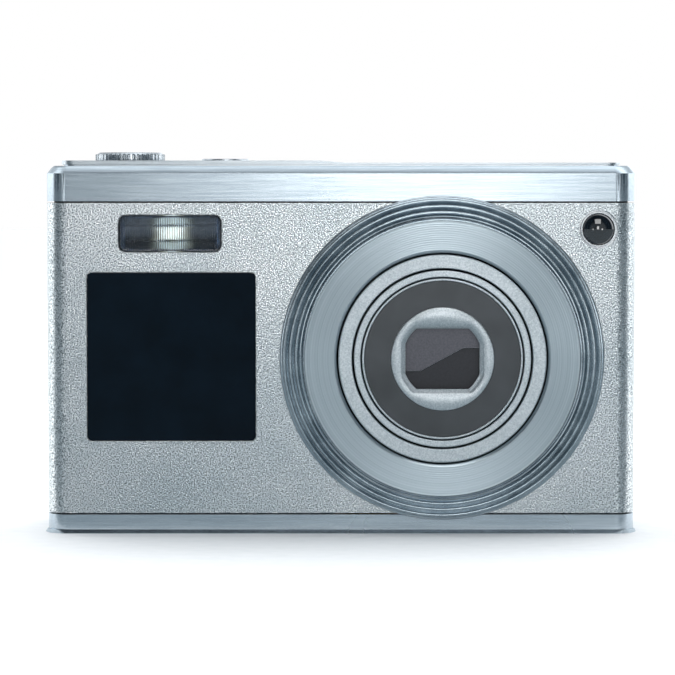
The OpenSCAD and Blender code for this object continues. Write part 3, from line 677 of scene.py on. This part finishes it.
# ---- Flash ----
# A clear polycarbonate window with fine upright prisms inside its rim, over a
# pressed mirror bowl and a xenon tube. The tube's middle glows as a warm bar:
# a painted highlight, for the flash is not fired.
flash_low, flash_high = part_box("flash_window")
FLASH_X, FLASH_Z = (flash_low.x + flash_high.x) / 2, (flash_low.z + flash_high.z) / 2
FLASH_W, FLASH_H, FLASH_CORNER = 19.2, 6.9, 1.4
PRISM_PITCH, PRISM_DEPTH = 0.4, 0.11
PRISM_STEPS = 6
columns = []
column_count = round(FLASH_W / PRISM_PITCH) * PRISM_STEPS
for i in range(column_count + 1):
    x = -FLASH_W / 2 + FLASH_W * i / column_count
    into = max(0.0, abs(x) - (FLASH_W / 2 - FLASH_CORNER))
    half = FLASH_H / 2 - FLASH_CORNER + math.sqrt(max(0.0, FLASH_CORNER**2 - into**2))
    wave = abs(math.sin(math.pi * i / PRISM_STEPS))
    cut = PRISM_DEPTH * (1 - wave) if abs(x) < FLASH_W / 2 - 0.8 else 0.0
    front, back = 12.9, 12.2
    loop = [
        (back, -half),
        (front - 0.12, -half),
        (front, -half + 0.12),
        (front, -half + 0.5),
        (front - cut, -half + 0.62),
        (front - cut, half - 0.62),
        (front, half - 0.5),
        (front, half - 0.12),
        (front - 0.12, half),
        (back, half),
    ]
    columns.append([(FLASH_X + x * MM, -y * MM, FLASH_Z + z * MM) for y, z in loop])
work = bmesh.new()
made = [[work.verts.new(p) for p in column] for column in columns]
for left, right in zip(made, made[1:]):
    for i in range(len(left)):
        j = (i + 1) % len(left)
        work.faces.new((left[i], left[j], right[j], right[i]))
work.faces.new(made[0])
work.faces.new(made[-1])
bmesh.ops.recalc_face_normals(work, faces=work.faces)
mesh = bpy.data.meshes.new("prismatic_flash_window")
work.to_mesh(mesh)
work.free()
shade(mesh, 25)
window = link("prismatic_flash_window", mesh)

clear = finish("clear_prismatic_polycarbonate")
where = add(clear, "TexCoord")
haze = add(clear, "TexNoise", {"Vector": (where, "Object"), "Scale": grain(1.5), "Detail": 2.0})
tone = two_tone(clear, haze, "8a9bb0", "9fb0c6")
# Painted shade: darker upright stripes at the prisms' pitch, multiplied into the clear tint, stand
# in for the prisms' light and shade.
place = add(clear, "SeparateXYZ", {"Vector": (where, "Object")})
turns = 2 * math.pi / (PRISM_PITCH * MM)
angle = add(clear, "Math", {0: (place, "X"), 1: turns}, operation="MULTIPLY")
crest = add(clear, "Math", {0: angle}, operation="COSINE")
prism_stripe_shade = add(
    clear,
    "MapRange",
    {"Value": crest, "From Min": -1.0, "From Max": 1.0, "To Min": 1.0, "To Max": 0.55},
)
ribbed = add(
    clear, "Mix", {0: 1.0, 6: (tone, 0), 7: prism_stripe_shade}, data_type="RGBA", blend_type="MULTIPLY"
)
dull = spread(clear, haze, 0.04, 0.1)
lens = add(
    clear,
    "BsdfPrincipled",
    {"Base Color": (ribbed, 2), "Roughness": dull, "IOR": 1.58, "Transmission Weight": 1.0},
)
add(clear, "OutputMaterial", {"Surface": lens})
fit(window, "flash_window", clear)


def redress(finished, slot, *nodes):
    """Gives CAD nodes whose shape is already right a better finish."""
    for node in nodes:
        part = frame["nodes"][node]
        if not part.data.materials:
            part.data.materials.append(finished)
        for place in part.material_slots:
            place.material = finished


mirror = finish("pressed_mirror_aluminium")
where = add(mirror, "TexCoord")
ripple = add(mirror, "TexNoise", {"Vector": (where, "Object"), "Scale": grain(2.2), "Detail": 2.0})
tone = two_tone(mirror, ripple, "97a0a8", "bdc4ca")
relief = add(mirror, "Bump", {"Height": ripple, "Distance": 0.05 * MM, "Strength": 0.5})
metal = add(
    mirror,
    "BsdfPrincipled",
    {"Base Color": tone, "Metallic": 1.0, "Roughness": 0.14, "Normal": relief},
)
add(mirror, "OutputMaterial", {"Surface": metal})
skin("flash_reflector", 0.05, mirror)

xenon = finish("frosted_xenon_tube_painted_glow")
where = add(xenon, "TexCoord")
frost = add(xenon, "TexNoise", {"Vector": (where, "Object"), "Scale": grain(0.8), "Detail": 2.0})
tone = two_tone(xenon, frost, "efe9d4", "fffaf0")
# Painted highlight: the tube's middle emits a warm glow that fades out within 2.4 mm on either
# side, though the flash is not fired.
painted_glow_offset = add(
    xenon,
    "VectorMath",
    {0: (where, "Object"), 1: (FLASH_X, 0.0, 0.0)},
    operation="SUBTRACT",
)
side = add(xenon, "SeparateXYZ", {"Vector": painted_glow_offset})
reach = add(xenon, "Math", {0: (side, "X")}, operation="ABSOLUTE")
arc = add(
    xenon,
    "MapRange",
    {"Value": reach, "From Min": 0.0, "From Max": 2.4 * MM, "To Min": 1.0, "To Max": 0.0},
)
glow = add(
    xenon,
    "ValToRGB",
    {"Fac": arc},
    stops=[(0.0, linear("000000")), (0.35, linear("9a8f6c")), (0.8, linear("fff6dc"))],
)
glass = add(
    xenon,
    "BsdfPrincipled",
    {
        "Base Color": tone,
        "Roughness": 0.2,
        "IOR": 1.47,
        "Emission Color": glow,
        "Emission Strength": 7.0,
    },
)
add(xenon, "OutputMaterial", {"Surface": glass})
skin("flash_tube", 0.1, xenon)


# ---- Screen windows and lamp lens ----
# Toughened glass, printed black behind and glued into the covers, with a ground
# and polished rim. The lamp lens is a domed button of the same dark gloss.
smoke = finish("back_printed_window_glass")
where = add(smoke, "TexCoord")
grease = add(smoke, "TexNoise", {"Vector": (where, "Object"), "Scale": grain(7), "Detail": 4.0})
tone = two_tone(smoke, grease, "030d16", "06141f")
dull = add(
    smoke,
    "MapRange",
    {"Value": grease, "From Min": 0.35, "From Max": 0.7, "To Min": 0.03, "To Max": 0.09},
)
glass = add(
    smoke,
    "BsdfPrincipled",
    {"Base Color": tone, "Roughness": dull, "IOR": 1.52, "Specular IOR Level": 0.12},
)
add(smoke, "OutputMaterial", {"Surface": glass})
skin("front_screen_window", 0.18, smoke)
skin("rear_screen_window", 0.18, smoke)

lamp_low, lamp_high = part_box("lamp_lens")
LAMP_X, LAMP_Z = (lamp_low.x + lamp_high.x) / 2, (lamp_low.z + lamp_high.z) / 2
LAMP_R, DOME_R, APEX = 2.98, 4.07, 14.2
reach = math.asin(LAMP_R / DOME_R)
dome = [
    (DOME_R * math.sin(reach * i / 24), APEX - DOME_R + DOME_R * math.cos(reach * i / 24))
    for i in range(25)
]
back = -lamp_high.y / MM
lamp = turned(
    "domed_lamp_lens",
    dome + [(LAMP_R, back), (0.0, back)],
    (LAMP_X, LAMP_Z),
    steps=96,
    closed=False,
)
jet = finish("black_gloss_lamp_dome")
where = add(jet, "TexCoord")
grease = add(jet, "TexNoise", {"Vector": (where, "Object"), "Scale": grain(2.5), "Detail": 3.0})
tone = two_tone(jet, grease, "04080c", "0a1118")
glass = add(
    jet,
    "BsdfPrincipled",
    {"Base Color": tone, "Roughness": 0.06, "IOR": 1.8, "Coat Weight": 1.0},
)
add(jet, "OutputMaterial", {"Surface": glass})
fit(lamp, "lamp_lens", jet)


# ---- Mode dial ----
# A turned aluminium dial with 45 rolled grip ribs and a chamfered top, pressed
# on a steel stem. Its face is spun to fine rings.
dial_low, dial_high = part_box("mode_dial")
DIAL_X, DIAL_Y = (dial_low.x + dial_high.x) / 2, (dial_low.y + dial_high.y) / 2
DIAL_R, RIB_DEPTH, RIBS, RIB_STEPS = 6.6, 0.42, 45, 10
dial_top = dial_high.z / MM


def dial_ring(z, inset, ribbed=1.0):
    """One ring of the dial: ribs with rounded lands and flat roots."""
    ring = []
    for i in range(RIBS * RIB_STEPS):
        phase = (i % RIB_STEPS) / RIB_STEPS
        land = min(1.0, max(0.0, 2.4 * math.sin(math.pi * phase) - 0.75))
        r = (DIAL_R - inset - RIB_DEPTH * ribbed * (1 - land)) * MM
        a = 2 * math.pi * i / (RIBS * RIB_STEPS)
        ring.append((DIAL_X + r * math.cos(a), DIAL_Y + r * math.sin(a), z * MM))
    return ring


def stem_ring(z, radius):
    count = RIBS * RIB_STEPS
    return [
        (
            DIAL_X + radius * MM * math.cos(2 * math.pi * i / count),
            DIAL_Y + radius * MM * math.sin(2 * math.pi * i / count),
            z * MM,
        )
        for i in range(count)
    ]


dial = lofted(
    "knurled_mode_dial",
    [
        [(DIAL_X, DIAL_Y, dial_low.z)],
        stem_ring(dial_low.z / MM, 1.5),
        stem_ring(dial_top - 1.5, 1.5),
        dial_ring(dial_top - 1.5, 0.1),
        dial_ring(dial_top - 1.4, 0.0),
        dial_ring(dial_top - 0.42, 0.0),
        dial_ring(dial_top - 0.31, 0.1),
        stem_ring(dial_top - 0.3, 6.22),
        stem_ring(dial_top - 0.05, 5.96),
        stem_ring(dial_top, 5.88),
        stem_ring(dial_top, 5.0),
        stem_ring(dial_top - 0.04, 4.92),
        stem_ring(dial_top - 0.04, 4.84),
        stem_ring(dial_top, 4.76),
        [(DIAL_X, DIAL_Y, dial_top * MM)],
    ],
    closed=False,
)
spun = finish("spun_aluminium_keys")
where = add(spun, "TexCoord")
beads = add(spun, "TexNoise", {"Vector": (where, "Object"), "Scale": grain(0.3), "Detail": 3.0})
tone = two_tone(spun, beads, "b3bac0", "d3d8db")
dull = spread(spun, beads, 0.22, 0.3)
relief = add(spun, "Bump", {"Height": beads, "Distance": 0.01 * MM, "Strength": 0.4})
metal = add(
    spun,
    "BsdfPrincipled",
    {"Base Color": tone, "Metallic": 1.0, "Roughness": dull, "Normal": relief},
)
add(spun, "OutputMaterial", {"Surface": metal})
fit(dial, "mode_dial", spun)


# ---- Buttons and rocker ----
# The keys are the same spun aluminium with rounded rims, each with a flange
# behind the cover so that it can't fall out; the navigation ring sits on rubber.
for key in (
    "shutter_button",
    "power_button",
    "zoom_rocker",
    "nav_ring",
    "ok_button",
    "playback_button",
    "menu_button",
):
    skin(key, 0.16, spun)

rubber = painted("moulded_silicone_rubber", "2b2d30", "36383b", 0.62)
redress(rubber, "silicone_pad", "nav_pad")


# ---- Steel, brass and plastic parts inside ----
# Stamped and turned steel for the rods, sockets and screws, brass for the pinion
# and the tripod thread, and black glass-filled plastic for the frames.
steel = finish("bright_stamped_steel")
where = add(steel, "TexCoord")
mill = add(steel, "TexNoise", {"Vector": (where, "Object"), "Scale": grain(0.6), "Detail": 4.0})
tone = two_tone(steel, mill, "b9bcc0", "d9dcde")
dull = spread(steel, mill, 0.18, 0.3)
metal = add(steel, "BsdfPrincipled", {"Base Color": tone, "Metallic": 1.0, "Roughness": dull})
add(steel, "OutputMaterial", {"Surface": metal})
skin("lamp_ring", 0.05, steel)
skin("case_screws", 0.05, steel)
skin("usb_socket", 0.05, steel)
redress(
    steel,
    "bright_steel",
    "guide_rods",
    "sensor_plate",
    "zoom_motor",
    "card_socket",
    "battery_door_pin",
)

brass = finish("turned_free_cutting_brass")
where = add(brass, "TexCoord")
mill = add(brass, "TexNoise", {"Vector": (where, "Object"), "Scale": grain(0.4), "Detail": 3.0})
tone = two_tone(brass, mill, "b08d4a", "d1b06a")
metal = add(brass, "BsdfPrincipled", {"Base Color": tone, "Metallic": 1.0, "Roughness": 0.28})
add(brass, "OutputMaterial", {"Surface": metal})
redress(brass, "brass", "motor_pinion")
skin("tripod_socket", 0.06, brass)

black = painted("glass_filled_black_polycarbonate", "131416", "1f2124", 0.5)
redress(
    black,
    "black_polycarbonate",
    "lens_housing",
    "cam_ring",
    "zoom_carrier",
    "focus_carrier",
    "chassis_frame",
)
acetal = painted("white_acetal", "dcdad2", "eceae4", 0.35)
redress(acetal, "acetal", "reduction_gear")


# ---- Optics and sensor ----
# Ground optical glass with a faint violet anti-reflection bloom, and a dark
# iridescent sensor under its cover glass.
optic = finish("coated_optical_glass")
where = add(optic, "TexCoord")
bloom = add(optic, "TexNoise", {"Vector": (where, "Object"), "Scale": grain(5), "Detail": 1.0})
tone = two_tone(optic, bloom, "eef0fb", "f7fbff")
glass = add(
    optic,
    "BsdfPrincipled",
    {
        "Base Color": tone,
        "Roughness": 0.01,
        "IOR": 1.62,
        "Transmission Weight": 1.0,
        "Coat Weight": 0.6,
        "Coat Tint": linear("e4dfff"),
    },
)
add(optic, "OutputMaterial", {"Surface": glass})
redress(optic, "optical_glass", "front_lens", "zoom_lens", "focus_lens")

silicon = finish("sensor_silicon_under_glass")
where = add(silicon, "TexCoord")
cells = add(silicon, "TexVoronoi", {"Vector": (where, "Object"), "Scale": grain(0.4)})
tone = add(
    silicon,
    "ValToRGB",
    {"Fac": (cells, "Distance")},
    stops=[(0.0, linear("1c2f3a")), (0.6, linear("3a2f52"))],
)
glass = add(
    silicon,
    "BsdfPrincipled",
    {"Base Color": tone, "Metallic": 0.5, "Roughness": 0.15, "Coat Weight": 1.0},
)
add(silicon, "OutputMaterial", {"Surface": glass})
redress(silicon, "sensor_glass", "image_sensor")

panel = painted("display_module_black", "0a0d10", "12161a", 0.2)
redress(panel, "display_module", "front_display", "rear_display")


# ---- Electronics, battery and card ----
# Green solder-masked boards, a shrink-wrapped battery and capacitor, an orange
# spring catch and the card in its stamped cage.
board = finish("green_solder_mask")
where = add(board, "TexCoord")
tracks = add(
    board,
    "TexBrick",
    {
        "Vector": (where, "Object"),
        "Scale": grain(6),
        "Color1": linear("1d5a34"),
        "Color2": linear("236a3d"),
        "Mortar": linear("2f7d4c"),
        "Mortar Size": 0.03,
    },
)
mask = add(
    board,
    "BsdfPrincipled",
    {"Base Color": tracks, "Roughness": 0.35, "IOR": 1.5, "Coat Weight": 0.4},
)
add(board, "OutputMaterial", {"Surface": mask})
redress(board, "circuit_board", "main_board", "key_board")
redress(painted("battery_shrink_wrap", "23272e", "2f343c", 0.4), "battery_wrap", "battery")
sleeve = painted("capacitor_sleeve_vinyl", "14161c", "20242c", 0.3)
redress(sleeve, "capacitor_sleeve", "flash_capacitor")
redress(painted("orange_catch_acetal", "d2641c", "e2752a", 0.4), "orange_catch", "battery_catch")
skin("door_latch", 0.1, painted("grey_slider_plastic", "55595e", "64686d", 0.45))
redress(painted("card_shell_plastic", "1b2a48", "243659", 0.45), "card_shell", "memory_card")


# ---- Floor and studio ----
# A plain white table, and a studio that is bright behind the object, dark at its
# front corners and softly lit in front. Metal mirrors a dimmer back and ceiling
# than the one that lights the table, so that its upper faces keep their shape.
floor_mesh = bpy.data.meshes.new("table_top")
SPAN = 4.0
floor_mesh.from_pydata(
    [(-SPAN, -SPAN, 0), (SPAN, -SPAN, 0), (SPAN, SPAN, 0), (-SPAN, SPAN, 0)], [], [(0, 1, 2, 3)]
)
table = link("table_top", floor_mesh)
paper = finish("white_table_laminate")
where = add(paper, "TexCoord")
fibre = add(paper, "TexNoise", {"Vector": (where, "Object"), "Scale": grain(3), "Detail": 3.0})
tone = two_tone(paper, fibre, "f6f7f8", "fcfcfd")
sheet = add(paper, "BsdfPrincipled", {"Base Color": tone, "Roughness": 0.7})
add(paper, "OutputMaterial", {"Surface": sheet})
table.data.materials.append(paper)
table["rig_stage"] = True

world = bpy.data.worlds.new("studio")
bpy.context.scene.world = world
world.use_nodes = True
world.node_tree.nodes.clear()
where = add(world, "TexCoord")
parts = add(world, "SeparateXYZ", {"Vector": (where, "Generated")})
towards_front = add(
    world,
    "MapRange",
    {"Value": (parts, "Y"), "From Min": 1.0, "From Max": -1.0, "To Min": 0.0, "To Max": 1.0},
)
room = add(
    world,
    "ValToRGB",
    {"Fac": towards_front},
    stops=[
        (0.0, (1.0, 1.0, 1.0, 1)),
        (0.55, (0.9, 0.96, 1.0, 1)),
        (0.6, (0.04, 0.05, 0.06, 1)),
        (0.84, (0.04, 0.05, 0.06, 1)),
        (0.9, (0.12, 0.135, 0.145, 1)),
        (1.0, (0.15, 0.165, 0.175, 1)),
    ],
)
seen = add(world, "LightPath")
DARK = (0.03, 0.045, 0.06, 1)
front_half = [
    (0.6, DARK),
    (0.84, DARK),
    (0.9, (0.216, 0.243, 0.261, 1)),
    (1.0, (0.27, 0.297, 0.315, 1)),
]
mirrored = add(
    world,
    "ValToRGB",
    {"Fac": towards_front},
    stops=[
        (0.0, (0.5, 0.53, 0.56, 1)),
        (0.33, (0.6, 0.64, 0.67, 1)),
        (0.44, (1.4, 1.46, 1.5, 1)),
        (0.55, (1.75, 1.84, 1.9, 1)),
        *front_half,
    ],
)
level = add(
    world,
    "ValToRGB",
    {"Fac": towards_front},
    stops=[
        (0.0, (1.2, 1.27, 1.32, 1)),
        (0.55, (1.5, 1.56, 1.6, 1)),
        *front_half,
    ],
)
upwards = add(
    world,
    "MapRange",
    {"Value": (parts, "Z"), "From Min": 0.2, "From Max": 0.5, "To Min": 0.0, "To Max": 1.0},
)
seen_in_metal = add(world, "Mix", {0: upwards, 6: (level, 0), 7: (mirrored, 0)}, data_type="RGBA")
rightwards = add(
    world,
    "MapRange",
    {"Value": (parts, "X"), "From Min": -0.25, "From Max": 0.25, "To Min": 0.68, "To Max": 1.35},
)
sideways = add(world, "Math", {0: (parts, "X")}, operation="ABSOLUTE")
flanks = add(
    world,
    "MapRange",
    {"Value": sideways, "From Min": 0.35, "From Max": 0.6, "To Min": 0.0, "To Max": 1.0},
)
leaning = add(world, "Mix", {0: flanks, 2: rightwards, 3: 1.3}, data_type="FLOAT")
lit = add(world, "Background", {"Color": room, "Strength": 1.8})
shown = add(world, "Background", {"Color": (seen_in_metal, 2), "Strength": leaning})
backdrop = add(world, "Background", {"Color": (1, 1, 1, 1), "Strength": 1.0})
bounced = add(world, "MixShader", {0: (seen, "Is Glossy Ray"), 1: lit, 2: shown})
both = add(world, "MixShader", {0: (seen, "Is Camera Ray"), 1: bounced, 2: backdrop})
add(world, "OutputWorld", {"Surface": both})


def softbox(name, place, aim, size, watts, tint=(1, 1, 1)):
    """A rectangular softbox that looks from its place to its aim."""
    data = bpy.data.lights.new(name, "AREA")
    data.shape = "RECTANGLE"
    data.size, data.size_y = size
    data.energy = watts
    data.color = tint
    lamp = bpy.data.objects.new(name, data)
    lamp.location = place
    lamp.rotation_euler = (Vector(aim) - Vector(place)).to_track_quat("-Z", "Y").to_euler()
    lamp.visible_camera = False
    bpy.context.scene.collection.objects.link(lamp)
    return lamp


softbox("key_softbox", (0.035, -0.75, 0.15), (0.035, 0.0, 0.06), (0.14, 0.2), 0.38)
softbox("left_strip", (-0.3, -0.7, 0.03), (0.02, 0.0, 0.03), (0.08, 0.14), 0.1)
softbox("right_strip", (0.32, -0.7, 0.03), (0.02, 0.0, 0.03), (0.08, 0.14), 0.17)
softbox("window_softbox", (0.04, -0.5, 0.5), (0.04, 0.0, 0.05), (0.34, 0.3), 0.9)
overhead = softbox("top_softbox", (0.0, 0.24, 0.7), (0.0, 0.1, 0.0), (0.8, 0.5), 1.6)
overhead.visible_glossy = False

CARD, CARD_BACK, CARD_Z = 3.0, -0.019, 0.0004
card_mesh = bpy.data.meshes.new("dark_card")
card_mesh.from_pydata(
    [
        (-CARD, -CARD, CARD_Z),
        (CARD, -CARD, CARD_Z),
        (CARD, CARD_BACK, CARD_Z),
        (-CARD, CARD_BACK, CARD_Z),
    ],
    [],
    [(0, 1, 2, 3)],
)
card = link("dark_card", card_mesh)
felt = finish("grey_card_felt")
where = add(felt, "TexCoord")
nap = add(felt, "TexNoise", {"Vector": (where, "Object"), "Scale": grain(40), "Detail": 2.0})
tone = two_tone(felt, nap, "9ba8b0", "a7b3b9")
glow = add(felt, "Emission", {"Color": tone, "Strength": 1.0})
add(felt, "OutputMaterial", {"Surface": glow})
card.data.materials.append(felt)
card.visible_camera = False
card.visible_shadow = False
card.visible_diffuse = False
card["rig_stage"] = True


# ---- Camera ----
# A long lens in front of the object and a little above its middle.
lens = bpy.data.cameras.new("camera")
lens.lens = 150
lens.sensor_width = 36
lens.clip_end = 20
eye = bpy.data.objects.new("camera", lens)
bpy.context.scene.collection.objects.link(eye)
AIM = Vector((-0.00065, -0.013, 0.03665))
DISTANCE, RISE = 0.524, math.radians(3.0)
eye.location = AIM + DISTANCE * Vector((0, -math.cos(RISE), math.sin(RISE)))
eye.rotation_euler = (AIM - eye.location).to_track_quat("-Z", "Y").to_euler()
bpy.context.scene.camera = eye
bpy.context.scene.view_settings.view_transform = "Standard"

bpy.context.view_layer.update()
low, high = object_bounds()
